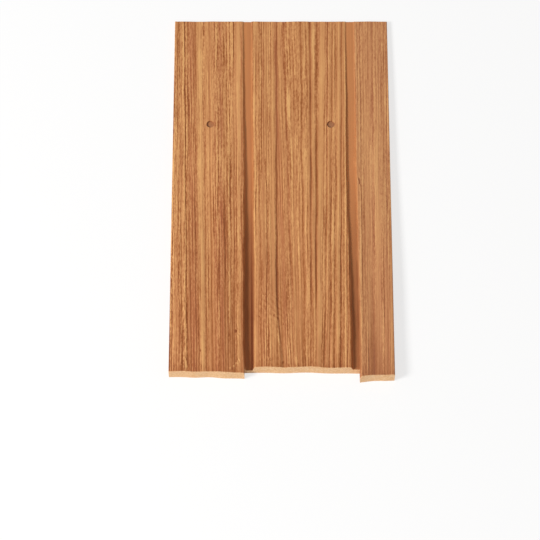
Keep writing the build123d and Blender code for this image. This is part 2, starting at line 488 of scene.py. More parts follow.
def from_srgb(red, green, blue):
    """A colour given as 0 to 255 display values, in the linear values that Blender works with."""
    shares = [value / 255 for value in (red, green, blue)]
    return tuple(s / 12.92 if s <= 0.04045 else ((s + 0.055) / 1.055) ** 2.4 for s in shares)


def length(name, description, default):
    """A length property whose default is given in millimetres."""
    return FloatProperty(
        name=name, description=description, default=default * MM, unit="LENGTH", precision=5,
    )


def colour(name, description, *display):
    """A colour property whose default is given as display values."""
    return FloatVectorProperty(
        name=name, description=description, default=from_srgb(*display), size=3, subtype="COLOR",
        min=0.0, max=1.0,
    )


TILE_WIDTH = (cad_box[1].x - cad_box[0].x) / MM
TILE_LENGTH = (cad_box[1].y - cad_box[0].y) / MM


class ShakeTileSizes(PropertyGroup):
    width: length("Width", "Width of the tile", TILE_WIDTH)
    length: length("Length", "Length of the tile from the longest butt to the head", TILE_LENGTH)
    plank_butt: length("Plank at Butt", "Mean height of the planks at the butt", 20.5)
    plank_head: length("Plank at Head", "Mean height of the planks at the head", 7.6)
    first_web_butt: length("First Floor at Butt", "Height of the left keyway's floor at the butt", 8.0)
    first_web_head: length("First Floor at Head", "Height of the left keyway's floor at the head", 6.4)
    second_web_butt: length("Second Floor at Butt", "Height of the right keyway's floor at the butt", 13.0)
    second_web_head: length("Second Floor at Head", "Height of the right keyway's floor at the head", 6.6)
    keyway_floor: length("Keyway Floor", "Width of a keyway's floor", 9.4)
    keyway_run: length("Keyway Wall Run", "How far a keyway's wall leans out from foot to arris", 2.4)
    first_keyway: length("First Keyway", "Middle of the left keyway at the butt", -44.0)
    first_drift: length("First Drift", "How far the left keyway drifts by the head", -4.2)
    second_keyway: length("Second Keyway", "Middle of the right keyway at the butt", 100.2)
    second_drift: length("Second Drift", "How far the right keyway drifts by the head", -1.6)
    first_inset: length("First Step Inset", "How far outside the left keyway's floor the butt steps", 1.5)
    second_inset: length("Second Step Inset", "How far outside the right keyway's floor the butt steps", 0.6)
    arris: length("Arris", "Radius of the worn edges", 1.0)


class ShakeUndersideSizes(PropertyGroup):
    skin: length("Skin", "Thickness over the pockets", 5.2)
    outer_wall: length("Outer Wall", "Wall round the outside of the tile", 6.0)
    keyway_wall: length("Keyway Wall", "Wall left beside a keyway's floor", 4.5)
    rib: length("Rib", "Thickness of the ribs between pockets", 4.0)
    pocket_length: length("Pocket Length", "Length of a pocket along the tile", 48.0)
    pocket_corner: length("Pocket Corner", "Radius of a pocket's corners", 4.0)
    butt_wall_line: length("Butt Rows Start", "Where the pocket rows nearest the butt start", -258.0)
    head_wall_line: length("Head Rows End", "Where the pocket rows nearest the head end", 268.0)
    seat_radius: length("Nail Seat Radius", "Radius of a nail seat", 5.5)
    seat_depth: length("Nail Seat Depth", "Depth of a nail seat below the face", 2.6)
    seat_spacing: length("Nail Seat Spacing", "Distance between the two nail seats", 170.0)
    seat_middle: length("Nail Seat Middle", "Middle of the nail seats across the tile", -15.0)
    nail_line: length("Nail Line", "Where the nail seats are along the tile", 110.0)


class ShakeGrainSizes(PropertyGroup):
    ring_height: length("Ring Height", "Height of the even growth rings", 0.20)
    ring_spacing: length("Ring Spacing", "Usual distance between growth rings", 3.7)
    ridge_height: length("Ridge Height", "Height of the uneven ridges along the grain", 0.28)
    ridge_pitch: length("Ridge Pitch", "Usual width of a ridge", 2.4)
    fibre_height: length("Fibre Height", "Height of the fine fibres", 0.30)
    fibre_pitch: length("Fibre Pitch", "Usual width of a fibre", 1.45)
    seed: IntProperty(name="Seed", description="Picks another run of grain", default=7)


class ShakeColours(PropertyGroup):
    pale: colour("Pale Grain", "The palest raised grain", 228, 172, 108)
    tan: colour("Tan Grain", "Light tan grain", 209, 148, 91)
    middle: colour("Middle Tone", "The tone that most of the face has", 186, 122, 72)
    brown: colour("Brown Grain", "Darker brown grain", 158, 92, 40)
    groove: colour("Groove", "The bottoms of splits and grooves", 126, 62, 8)
    red: colour("Reddish Grain", "Grain with a reddish cast", 184, 107, 69)
    dull: colour("Dull Cast", "The duller, rosier cast of the narrow plank", 176, 128, 100)
    keyway: colour("Keyway", "The floors and walls of the keyways", 200, 130, 76)
    # The darkest painted shade that the keyways are mixed towards
    keyway_painted_shade: colour("Keyway Painted Shade", "The keyways at their darkest", 98, 38, 8)
    butt: colour("Butt", "The sawn butt faces", 238, 198, 150)
    butt_grain: colour("Butt Grain", "The end grain of the sawn butts", 222, 172, 120)
    back: colour("Underside", "The ribbed underside", 158, 106, 70)


class ShakeStageSettings(PropertyGroup):
    elevation: FloatProperty(
        name="Camera Elevation", description="How far the camera looks down on the tile",
        default=radians(65.0), subtype="ANGLE",
    )
    distance: FloatProperty(
        name="Camera Distance", description="From the camera to the point that it looks at",
        default=3.567, unit="LENGTH",
    )
    lens: FloatProperty(name="Lens", description="Focal length in millimetres", default=173.33, unit="CAMERA")
    aim: FloatVectorProperty(
        name="Camera Aim", description="The point that the camera looks at", default=(-0.0158, -0.119, 0.016),
        subtype="XYZ", unit="LENGTH",
    )
    key_power: FloatProperty(
        name="Key Lamp", description="Power of the soft lamp at the left of the butts", default=196.0,
        unit="POWER",
    )
    key_size: FloatProperty(name="Key Size", description="Width of the key lamp", default=1.3, unit="LENGTH")
    fill: FloatProperty(name="Fill", description="Strength of the even light from all round", default=0.38)
    floor: colour("Floor", "The pale floor", 250, 249, 248)


class Wiring:
    """Adds nodes to a node tree and joins them up."""

    def __init__(self, tree):
        self.tree = tree

    def node(self, kind, inputs=None, **settings):
        """A node of that kind with its settings, and its inputs joined or set."""
        made = self.tree.nodes.new(kind)
        for name, value in settings.items():
            setattr(made, name, value)
        for key, value in (inputs or {}).items():
            self.feed(made.inputs[key], value)
        return made

    def feed(self, socket, value):
        """Joins a socket to another one, or gives it a plain value."""
        if isinstance(value, bpy.types.NodeSocket):
            self.tree.links.new(value, socket)
        else:
            socket.default_value = value

    def math(self, operation, *values, clamp=False):
        """The result of a Math node."""
        inputs = dict(enumerate(values))
        return self.node("ShaderNodeMath", inputs, operation=operation, use_clamp=clamp).outputs[0]

    def ramp(self, value, low, high, out_low=0.0, out_high=1.0):
        """A value carried smoothly from one range to another."""
        inputs = {"Value": value, "From Min": low, "From Max": high, "To Min": out_low, "To Max": out_high}
        return self.node("ShaderNodeMapRange", inputs, interpolation_type="SMOOTHSTEP").outputs["Result"]

    def about_half(self, value):
        """A value's distance from a half."""
        return self.math("SUBTRACT", value, 0.5)

    def vector(self, x=0.0, y=0.0, z=0.0):
        """A vector made of three values."""
        return self.node("ShaderNodeCombineXYZ", {"X": x, "Y": y, "Z": z}).outputs[0]

    def oval(self, over, up, half_width, half_length):
        """1 in the middle of an oval, falling to 0 at its edge and outside."""
        across = self.math("DIVIDE", over, half_width)
        along = self.math("DIVIDE", up, half_length)
        far = self.math("MULTIPLY_ADD", across, across, self.math("MULTIPLY", along, along))
        return self.math("SUBTRACT", 1.0, far, clamp=True)

    def blend(self, share, first, second):
        """Two colours mixed by a share."""
        made = self.node("ShaderNodeMix", data_type="RGBA")
        for index, value in ((0, share), (6, first), (7, second)):
            self.feed(made.inputs[index], value)
        return made.outputs[2]

    def noise(self, vector, scale, detail=2.0, roughness=0.5):
        """The value of a noise texture at a vector."""
        inputs = {"Vector": vector, "Scale": scale, "Detail": detail, "Roughness": roughness}
        return self.node("ShaderNodeTexNoise", inputs).outputs[0]


def new_group(name, kind, inputs, outputs):
    """An empty node group with its named sockets, and the nodes at its two ends."""
    tree = bpy.data.node_groups.new(name, kind)
    for label, socket_type, default in inputs:
        socket = tree.interface.new_socket(label, in_out="INPUT", socket_type=socket_type)
        if default is not None:
            socket.default_value = default
    for label, socket_type in outputs:
        tree.interface.new_socket(label, in_out="OUTPUT", socket_type=socket_type)
    wiring = Wiring(tree)
    return wiring, wiring.node("NodeGroupInput").outputs, wiring.node("NodeGroupOutput").inputs


def with_nodes(source, tree, values, name):
    """The plain mesh object that a geometry node tree makes of a mesh, with its inputs set by identifier."""
    modifier = source.modifiers.new(tree.name, "NODES")
    modifier.node_group = tree
    for item in tree.interface.items_tree:
        if item.item_type == "SOCKET" and item.in_out == "INPUT" and item.name in values:
            modifier[item.identifier] = values[item.name]
    evaluated = source.evaluated_get(bpy.context.evaluated_depsgraph_get())
    mesh = bpy.data.meshes.new_from_object(evaluated)
    source.modifiers.remove(modifier)
    made = bpy.data.objects.new(name, mesh)
    bpy.context.scene.collection.objects.link(made)
    used = source.data
    bpy.data.objects.remove(source)
    bpy.data.meshes.remove(used)
    return made


def in_millimetres(group):
    """The lengths of a property group as millimetres."""
    return SimpleNamespace(**{name: getattr(group, name) / MM for name in group.__annotations__})


def waver(along, *waves):
    """A sum of sine waves, each with its height, spacing and start angle."""
    return sum(high * np.sin(2 * pi * along / spacing + start) for high, spacing, start in waves)


def from_table(at, table):
    """The value at each place from a table of places and values."""
    return np.interp(at, *np.transpose(table))


# The face at some places: its height, how far into a keyway each is and how dark its painted shade would be
# there, how light and red it is, how strong its fine grain is, and where its grain line meets the butt
Face = namedtuple("Face", "height keyway shade light red strength grain")


class TileForm:
    """The heights and outlines of the tile as functions of the place on it, in millimetres."""

    def __init__(self, tile):
        self.tile = tile
        self.half_width = tile.width / 2
        self.half_length = tile.length / 2
        self.floor_half = tile.keyway_floor / 2
        self.wall_out = self.floor_half + tile.keyway_run
        self.first_step = tile.first_keyway - self.floor_half - tile.first_inset
        self.second_step = tile.second_keyway + self.floor_half + tile.second_inset

    def nearness(self, y):
        """How near y is to the butt: 0 at the head, 1 at the butt."""
        return (self.half_length - y) / self.tile.length

    def tapered(self, y, at_butt, at_head):
        """A size that changes evenly from the butt to the head."""
        return at_head + (at_butt - at_head) * self.nearness(y)

    def keyway_middles(self, y):
        """The middles of the two keyway floors."""
        tile = self.tile
        gone = 1 - self.nearness(y)
        return tile.first_keyway + tile.first_drift * gone, tile.second_keyway + tile.second_drift * gone

    def butt_lines(self, x):
        """Where the left, centre and right butt stand at each x, each carried on past its own plank."""
        lines = []
        ends = (-self.half_width, self.first_step, self.second_step, self.half_width)
        for number, setbacks in enumerate((LEFT_BUTT, CENTRE_BUTT, RIGHT_BUTT)):
            share = np.clip((x - ends[number]) / (ends[number + 1] - ends[number]), 0, 1)
            back = setbacks[0] + (setbacks[1] - setbacks[0]) * share
            swing = np.sin(pi * share) * (1 + np.sin(2 * pi * BUTT_TURNS[number] * share))
            lines.append(back + BUTT_WAVER * swing - self.half_length)
        return lines

    def split_line(self, y):
        """The centre plank's split: straight down from the head, then veering right near the butt."""
        veer = np.maximum(0.0, (SPLIT_BEND - y) / (SPLIT_BEND + self.half_length))
        return SPLIT_ABOVE + (SPLIT_AT_BUTT - SPLIT_ABOVE) * veer + waver(y, *SPLIT_WAVER)

    def grain_place(self, x, y):
        """Where the grain line through a place meets the butt: the coordinate that follows the grain."""
        lines = np.linspace(-GRAIN_REACH, GRAIN_REACH, GRAIN_LINES)
        shifts = np.pad(from_table(lines, GRAIN_FAN), FAN_SMOOTHING // 2, mode="edge")
        shifts = np.convolve(shifts, np.ones(FAN_SMOOTHING) / FAN_SMOOTHING, mode="valid")
        share = (y - BUTT_LINE) / (EXPOSURE_LINE - BUTT_LINE)
        steps = np.round(share * FAN_STEPS).astype(int)
        place = np.empty_like(x)
        for step in np.unique(steps):
            here = steps == step
            place[here] = np.interp(x[here], lines + shifts * step / FAN_STEPS, lines)
        return place - waver(y + GRAIN_WAVER_LEAN * x, *GRAIN_WAVER)

    def wave_relief(self, x, y, waves):
        """Relief of a split face: waves across the leaning grain and a long one down it."""
        across = x + GRAIN_LEAN * y
        down = y / LONG_WAVE_SPACING + across / LONG_WAVE_TURN
        return waver(across, *waves) + LONG_WAVE * np.sin(2 * pi * down)

    def split_hollow(self, x, y):
        """Depth of the torn hollow: steep at the split, running out to its right."""
        across = x - self.split_line(y)
        opened = (1 + np.tanh(across / SPLIT_LIP)) / 2
        return SPLIT_DEPTH * opened * np.exp(-np.maximum(across, 0.0) / SPLIT_RUN_OUT)

    def streak_sums(self, grain, y, streaks):
        """The heights, lightness, redness and calm of a plank's streaks, added up."""
        sums = np.zeros((4, *grain.shape))
        for number, streak in enumerate(streaks):
            # Each streak wanders, swells and breaks up at spacings of its own
            drift = waver(y, (STREAK_DRIFT, 120.0 + 9 * (number % 5), number * 1.7))
            long_swell = (STREAK_LONG_SWELL, 138.0 + 11 * (number % 7), number * 2.3)
            short_swell = (STREAK_SHORT_SWELL, 57.0, number * 1.1)
            swell = STREAK_MEAN + waver(y, long_swell, short_swell)
            # The breaks in a streak's lightness are partly painted glints of fibres catching the light
            broken = 1 + waver(y, (STREAK_GLINT_AND_BREAK, 21.0 + number % 5, number * 3.1))
            shape = np.exp(-(((grain - streak.at - drift) / streak.wide) ** 2))
            begun = (1 + np.tanh((y - streak.start) / STREAK_FADE)) / 2
            ended = (1 + np.tanh((streak.end - y) / STREAK_FADE)) / 2
            parts = (streak.high * swell, streak.light * swell * broken, streak.red * swell, streak.calm)
            for total, part in zip(sums, parts):
                total += part * shape * begun * ended
        return sums

    def crack(self, x, y):
        """How much of the crack along the split there is at each place."""
        opened = from_table(y, CRACK_SHARE)
        half_width = np.interp(opened, (0, 1), CRACK_HALF_WIDTHS)
        return opened * np.exp(-(((x - self.split_line(y) - CRACK_OFFSET) / half_width) ** 2))

    def planks(self, x, y, grain):
        """The relief, lightness, redness and calm of the three planks, each inside its own bounds."""
        first, second = self.keyway_middles(y)
        sums = np.zeros((4, *x.shape))
        planks = (
            (x < first, LEFT_WAVES, LEFT_STREAKS),
            ((x >= first) & (x < second), CENTRE_WAVES, CENTRE_STREAKS),
            (x >= second, RIGHT_WAVES, RIGHT_STREAKS),
        )
        for inside, waves, streaks in planks:
            relief, light, red, calm = self.streak_sums(grain, y, streaks)
            relief += self.wave_relief(x, y, waves)
            if streaks is CENTRE_STREAKS:
                crack = self.crack(x, y)
                relief -= self.split_hollow(x, y) + CRACK_DEPTH * crack
                # Painted shade darkens and reddens the crack, on top of its small real depth
                light += CRACK_PAINTED_SHADE * crack
                red += CRACK_SHADE_RED * crack
            sums = np.where(inside, (relief, light, red, calm), sums)
        return sums

    def cut_keyways(self, x, y, height):
        """The height with the keyways cut in, how far into one each place is, and how dark its painted shade
        is there.
        """
        tile = self.tile
        keyway = np.zeros_like(x)
        # Painted shade of the keyway floors along the tile
        shade = from_table(y, KEYWAY_SHADES)
        webs = (self.tapered(y, tile.first_web_butt, tile.first_web_head),
                self.tapered(y, tile.second_web_butt, tile.second_web_head))
        walls = (FIRST_WALLS, SECOND_WALLS)
        for number, (middle, web) in enumerate(zip(self.keyway_middles(y), webs)):
            side = np.sign(x - middle)
            out = np.abs(x - middle) - np.where(side < 0, *(from_table(y, wall) for wall in walls[number]))
            long_waver = (*WALL_LONG_WAVER, 1.0 + side + number)
            short_waver = (*WALL_SHORT_WAVER, 2.0 * side + number)
            out = out + waver(y, long_waver, short_waver)
            slope = np.maximum(height - web, LEAST_WALL) / tile.keyway_run
            wall_height = web + (out - self.floor_half) * slope
            softness = ARRIS_SOFTNESS + ARRIS_SOFTNESS_RISE * tile.arris * slope
            height = soft_lowest(height, soft_highest(wall_height, web, FOOT_SOFTNESS * softness), softness)
            keyway = np.maximum(keyway, np.clip((self.wall_out - out) / tile.keyway_run, 0, 1))
            # Painted shade in the creases at the feet of the walls, painted light where it is below zero
            for foot, dark in zip(FOOT_PLACES, FOOT_SHADES[number]):
                from_foot = (x - middle) / self.floor_half - foot
                near = np.exp(-((from_foot / FOOT_REACH) ** 2))
                shade = shade + dark * from_table(y, FOOT_STRENGTH) * near
        return height, keyway, shade

    def face(self, x, y):
        """The face at each place: its height, its keyways, and the tone, strength and place of its grain."""
        tile = self.tile
        grain = self.grain_place(x, y)
        relief, light, red, calm = self.planks(x, y, grain)
        light = light + np.interp(y, (BUTT_LINE, EXPOSURE_LINE), (TONE_AT_BUTT, TONE_AT_EXPOSURE_LINE))
        for patch in PATCHES:
            cast = np.exp(-(((x - patch.x) / patch.across) ** 2) - ((y - patch.y) / patch.along) ** 2)
            light = light + patch.light * cast
            red = red + patch.red * cast
        mean = self.tapered(y, tile.plank_butt, tile.plank_head)
        height = mean + relief * self.tapered(y, 1.0, RELIEF_AT_HEAD)
        height, keyway, shade = self.cut_keyways(x, y, height)
        strength = from_table(grain, GRAIN_STRENGTH) * (1 - np.clip(calm, 0, 1))
        return Face(height, keyway, shade, light, red, strength, grain)

    def edge_drop(self, x, y, butt):
        """How far the worn arris drops the face near the butts and the long sides."""
        radius = self.tile.arris
        side_gap = np.clip(1 - (self.half_width - np.abs(x)) / radius, 0, 1)
        butt_gap = np.clip(1 - (y - butt) / radius, 0, 1)
        turned = np.minimum(1.0, np.hypot(side_gap, butt_gap))
        return radius * (1 - np.sqrt(1 - turned ** 2))


def soft_lowest(first, second, softness):
    """The lower of two heights, with a rounded change from one to the other."""
    share = np.clip(0.5 + 0.5 * (second - first) / softness, 0, 1)
    return second + (first - second) * share - softness * share * (1 - share)


def soft_highest(first, second, softness):
    """The higher of two heights, with a rounded change from one to the other."""
    return -soft_lowest(-first, -second, softness)


def places(start, end, pitch, near_start=(), near_end=()):
    """Even places from start to end, with closer ones where an arris turns."""
    fine_start = [start] + [start + step for step in near_start]
    fine_end = [end - step for step in near_end[::-1]] + [end]
    count = max(1, round((fine_end[0] - fine_start[-1]) / pitch))
    even = np.linspace(fine_start[-1], fine_end[0], count + 1)
    return np.concatenate([fine_start[:-1], even, fine_end[1:]])


def column_places(form):
    """Places of the mesh's columns across the tile at the butt, and the numbers of the two step columns."""
    tile = form.tile
    first, second = tile.first_keyway, tile.second_keyway
    wall_out, floor_half = form.wall_out, form.floor_half
    floor_pitch = tile.keyway_floor / FLOOR_COLUMNS
    wall_pitch = tile.keyway_run / WALL_COLUMNS
    to_first_step = (
        places(-form.half_width, first - wall_out, COLUMN_PITCH, ARRIS_STEPS, LIP_STEPS),
        places(first - wall_out, form.first_step, wall_pitch),
    )
    to_second_step = (
        places(form.first_step, first - floor_half, wall_pitch),
        places(first - floor_half, first + floor_half, floor_pitch),
        places(first + floor_half, first + wall_out, wall_pitch),
        places(first + wall_out, second - wall_out, COLUMN_PITCH, LIP_STEPS, LIP_STEPS),
        places(second - wall_out, second - floor_half, wall_pitch),
        places(second - floor_half, second + floor_half, floor_pitch),
        places(second + floor_half, form.second_step, wall_pitch),
    )
    to_side = (
        places(form.second_step, second + wall_out, wall_pitch),
        places(second + wall_out, form.half_width, COLUMN_PITCH, LIP_STEPS, ARRIS_STEPS),
    )
    at = np.concatenate([run[:-1] for run in to_first_step + to_second_step + to_side] + [[form.half_width]])
    first_step = sum(len(run) - 1 for run in to_first_step)
    second_step = first_step + sum(len(run) - 1 for run in to_second_step)
    return at, first_step, second_step


def row_places(form, outer_line, join_line):
    """Places of the mesh's rows along the tile at each column, and the number of the row at the centre butt.

    The first rows are the longer outer butts alone, the next follows the centre butt, and the rest go on up.
    """
    arris = np.array((0.0,) + ARRIS_STEPS)
    rows = [outer_line + step for step in arris]
    left_over = OUTER_BUTT_ROWS - len(arris)
    for row in range(left_over):
        share = (row + 1) / (left_over + 1)
        rows.append(outer_line + arris[-1] + (join_line - outer_line - arris[-1]) * share)
    middle = join_line.mean()
    exposed = places(0.0, EXPOSURE_LINE + EXPOSED_MARGIN - middle, EXPOSED_ROW_PITCH, ARRIS_STEPS)
    covered = places(exposed[-1], form.half_length - middle, COVERED_ROW_PITCH)
    for gone in np.concatenate([exposed[:-1], covered]):
        near = np.clip(1 - gone / BUTT_SHAPE_REACH, 0, 1)
        rows.append(middle + gone + (join_line - middle) * near)
    return np.array(rows), OUTER_BUTT_ROWS


def follow_keyways(form, at, y):
    """Places across the tile of each column in each row, which follow the drift and wander of the keyways."""
    tile = form.tile
    ends = (-form.half_width, tile.first_keyway - form.wall_out, tile.first_keyway + form.wall_out,
            tile.second_keyway - form.wall_out, tile.second_keyway + form.wall_out, form.half_width)
    drifts = (0.0, tile.first_drift, tile.first_drift, tile.second_drift, tile.second_drift, 0.0)
    x = at + np.interp(at, ends, drifts) * (1 - form.nearness(y))
    for place, wall in enumerate(FIRST_WALLS + SECOND_WALLS):
        outwards = -1 if place % 2 == 0 else 1
        share = np.interp(at, ends[place:place + 3], (0, 1, 0))
        x = x + outwards * share * from_table(y, wall)
    return x


def body_mesh(form):
    """The closed tile: a fine mesh over the face, walls down from its rim, and a flat base."""
    at, first_step, second_step = column_places(form)
    left_line, centre_line, right_line = form.butt_lines(at)
    outer_line = np.where(np.arange(len(at)) <= first_step, left_line, right_line)
    join_line = centre_line.copy()
    join_line[:first_step] = centre_line[first_step]
    join_line[second_step + 1:] = centre_line[second_step]
    y, join_row = row_places(form, outer_line, join_line)
    x = follow_keyways(form, at, y)
    below_join = np.arange(len(y))[:, None] < join_row
    butt = np.where(below_join, outer_line, np.broadcast_to(join_line, y.shape))
    butt[:, :first_step + 1] = outer_line[:first_step + 1]
    butt[:, second_step:] = outer_line[second_step:]
    z = form.face(x, y).height - form.edge_drop(x, y, butt)

    # Vertices and faces of the top, leaving out the place in front of the centre butt
    number = np.full(y.shape, -1)
    present = np.ones(y.shape, bool)
    present[:join_row, first_step + 1:second_step] = False
    number[present] = np.arange(present.sum())
    points = np.stack([x[present], y[present], z[present]], axis=1)
    corners = (number[:-1, :-1], number[:-1, 1:], number[1:, 1:], number[1:, :-1])
    quads = np.stack([corner.ravel() for corner in corners], axis=1)
    notch = np.zeros(corners[0].shape, bool)
    notch[:join_row, first_step:second_step] = True
    faces = quads[(quads >= 0).all(axis=1) & ~notch.ravel()].tolist()

    # The rim, anticlockwise from the left end of the butts, and the walls below it
    rim = np.concatenate([
        number[0, :first_step], number[:join_row, first_step], number[join_row, first_step:second_step],
        number[join_row:0:-1, second_step], number[0, second_step:-1], number[:-1, -1],
        number[-1, :0:-1], number[:0:-1, 0],
    ])
    above = rim
    layers = [points]
    after = np.roll(np.arange(len(rim)), -1)
    for level in SIDE_LEVELS:
        below = np.arange(len(rim)) + sum(len(layer) for layer in layers)
        layers.append(points[rim] * (1, 1, level))
        faces += np.stack([above, below, below[after], above[after]], axis=1).tolist()
        above = below
    faces.append(above[::-1].tolist())
    mesh = bpy.data.meshes.new("tile body")
    mesh.from_pydata(np.concatenate(layers) * MM, [], faces)
    return mesh


def mean_face_height(wire, put, along):
    """Height of the mean face at a place along the tile, in a geometry tree that has the tile's sizes."""
    to_head = wire.math("SUBTRACT", wire.math("MULTIPLY", put["Tile Length"], 0.5), along)
    nearness = wire.math("DIVIDE", to_head, put["Tile Length"])
    taper = wire.math("SUBTRACT", put["Butt Height"], put["Head Height"])
    return wire.math("MULTIPLY_ADD", taper, nearness, put["Head Height"])


def pocket_bay_tree():
    """Geometry nodes: rows of drafted pocket cores under one plank."""
    lengths = ("From", "To", "First Row", *CORE_SIZES)
    inputs = [(name, "NodeSocketFloat", 0.0) for name in lengths]
    inputs += [("Columns", "NodeSocketInt", 1), ("Rows", "NodeSocketInt", 1)]
    wire, put, out = new_group("pocket bay", "GeometryNodeTree", inputs, [("Cores", "NodeSocketGeometry")])

    # A plate for each pocket, on a grid in the middle of the bay
    bay = wire.math("SUBTRACT", put["To"], put["From"])
    column_pitch = wire.math("DIVIDE", wire.math("ADD", bay, put["Rib"]), put["Columns"])
    pocket_width = wire.math("SUBTRACT", column_pitch, put["Rib"])
    row_pitch = wire.math("ADD", put["Pocket Length"], put["Rib"])
    columns_span = wire.math("MULTIPLY", column_pitch, wire.math("SUBTRACT", put["Columns"], 1.0))
    rows_span = wire.math("MULTIPLY", row_pitch, wire.math("SUBTRACT", put["Rows"], 1.0))
    grid = wire.node("GeometryNodeMeshGrid", {
        "Size X": columns_span, "Size Y": rows_span, "Vertices X": put["Columns"], "Vertices Y": put["Rows"],
    })
    middle_x = wire.math("MULTIPLY", wire.math("ADD", put["From"], put["To"]), 0.5)
    first_middle = wire.math("ADD", put["First Row"], wire.math("MULTIPLY", put["Pocket Length"], 0.5))
    middle_y = wire.math("ADD", first_middle, wire.math("MULTIPLY", rows_span, 0.5))
    placed = wire.node("GeometryNodeTransform", {
        "Geometry": grid.outputs["Mesh"],
        "Translation": wire.vector(middle_x, middle_y, wire.math("MULTIPLY", put["Below"], -1.0)),
    })
    outline = wire.node("GeometryNodeCurvePrimitiveQuadrilateral", {
        "Width": pocket_width, "Height": put["Pocket Length"],
    })
    rounded = wire.node("GeometryNodeFilletCurve", {
        "Curve": outline.outputs[0], "Radius": put["Corner"], "Count": CORNER_POINTS,
    }, mode="POLY")
    filled = wire.node("GeometryNodeFillCurve", {"Curve": rounded.outputs[0]}, mode="NGONS")
    laid = wire.node("GeometryNodeInstanceOnPoints", {
        "Points": placed.outputs[0], "Instance": filled.outputs[0],
    })
    plates = wire.node("GeometryNodeRealizeInstances", {"Geometry": laid.outputs[0]}).outputs[0]

    # Each core reaches up to the skin at its head end, and narrows by the draft on the way
    where = wire.node("GeometryNodeInputPosition").outputs[0]
    along = wire.node("ShaderNodeSeparateXYZ", {0: where}).outputs["Y"]
    head_end = wire.math("ADD", along, wire.math("MULTIPLY", put["Pocket Length"], 0.5))
    ceiling = wire.math("SUBTRACT", mean_face_height(wire, put, head_end), put["Skin"])
    straight = wire.math("SUBTRACT", wire.math("ADD", ceiling, put["Below"]), put["Ceiling Round"])
    up = (0.0, 0.0, 1.0)
    raised = wire.node("GeometryNodeExtrudeMesh", {
        "Mesh": plates, "Offset": up, "Offset Scale": straight, "Individual": True,
    }, mode="FACES")
    slant = wire.math("TANGENT", put["Draft"])
    narrowing = wire.math("MULTIPLY", wire.math("MULTIPLY", straight, 2.0), slant)
    kept = wire.math("SUBTRACT", 1.0, wire.math("DIVIDE", narrowing, put["Pocket Length"]))
    drafted = wire.node("GeometryNodeScaleElements", {
        "Geometry": raised.outputs["Mesh"], "Selection": raised.outputs["Top"], "Scale": kept,
    }, domain="FACE")
    capped = wire.node("GeometryNodeExtrudeMesh", {
        "Mesh": drafted.outputs[0], "Selection": raised.outputs["Top"], "Offset": up,
        "Offset Scale": put["Ceiling Round"], "Individual": True,
    }, mode="FACES")
    rounding = wire.math("DIVIDE", wire.math("MULTIPLY", put["Ceiling Round"], 2.0), put["Pocket Length"])
    closed = wire.node("GeometryNodeScaleElements", {
        "Geometry": capped.outputs["Mesh"], "Selection": capped.outputs["Top"],
        "Scale": wire.math("SUBTRACT", 1.0, rounding),
    }, domain="FACE")
    base = wire.node("GeometryNodeFlipFaces", {"Mesh": plates})
    joined = wire.node("GeometryNodeJoinGeometry")
    wire.feed(joined.inputs[0], closed.outputs[0])
    wire.feed(joined.inputs[0], base.outputs[0])
    welded = wire.node("GeometryNodeMergeByDistance", {
        "Geometry": joined.outputs[0], "Distance": WELD_DISTANCE,
    })
    wire.feed(out["Cores"], welded.outputs[0])
    return wire.tree


def underside_tree(bays):
    """Geometry nodes: the ribbed underside and the nail seats, cut out of the closed tile."""
    inputs = [("Body", "NodeSocketGeometry", None)]
    inputs += [(name, "NodeSocketFloat", 0.0) for name in CORE_SIZES + SEAT_SIZES]
    inputs += [("Material", "NodeSocketMaterial", None)]
    outputs = [("Tile", "NodeSocketGeometry")]
    wire, put, out = new_group("ribbed underside", "GeometryNodeTree", inputs, outputs)
    cores = wire.node("GeometryNodeJoinGeometry")
    bay_tree = pocket_bay_tree()
    for start, end, columns, first_row, rows in bays:
        values = {name: put[name] for name in CORE_SIZES}
        values.update({"From": start, "To": end, "Columns": columns, "First Row": first_row, "Rows": rows})
        bay = wire.node("GeometryNodeGroup", values, node_tree=bay_tree)
        wire.feed(cores.inputs[0], bay.outputs[0])

    # The nail seats stand on the nail line, their depth measured from the mean face there
    depth = wire.math("MULTIPLY", put["Seat Depth"], DRILL_LENGTHS)
    seat_floor = wire.math("SUBTRACT", mean_face_height(wire, put, put["Nail Line"]), put["Seat Depth"])
    middle_z = wire.math("ADD", seat_floor, wire.math("MULTIPLY", depth, 0.5))
    start_x = wire.math("SUBTRACT", put["Seat Middle"], wire.math("MULTIPLY", put["Seat Spacing"], 0.5))
    line = wire.node("GeometryNodeMeshLine", {
        "Count": SEAT_COUNT, "Start Location": wire.vector(start_x, put["Nail Line"], middle_z),
        "Offset": wire.vector(put["Seat Spacing"]),
    })
    drill = wire.node("GeometryNodeMeshCylinder", {
        "Vertices": SEAT_SIDES, "Radius": put["Seat Radius"], "Depth": depth,
    })
    drills = wire.node("GeometryNodeInstanceOnPoints", {
        "Points": line.outputs[0], "Instance": drill.outputs["Mesh"],
    })
    drills = wire.node("GeometryNodeRealizeInstances", {"Geometry": drills.outputs[0]})
    wire.feed(cores.inputs[0], drills.outputs[0])
    cut = wire.node("GeometryNodeMeshBoolean", {
        "Mesh 1": put["Body"], "Mesh 2": cores.outputs[0],
    }, operation="DIFFERENCE", solver="MANIFOLD")
    finish_tree(wire, put, out, cut.outputs[0])
    return wire.tree


def finish_tree(wire, put, out, geometry):
    """Ends a geometry tree: its instances made real and its material set."""
    whole = wire.node("GeometryNodeRealizeInstances", {"Geometry": geometry})
    finished = wire.node("GeometryNodeSetMaterial", {
        "Geometry": whole.outputs[0], "Material": put["Material"],
    })
    wire.feed(out["Tile"], finished.outputs[0])


def named_value(wire, name, data_type):
    """A named attribute of the mesh in a geometry tree."""
    made = wire.node("GeometryNodeInputNamedAttribute", {"Name": name}, data_type=data_type)
    return made.outputs["Attribute"]


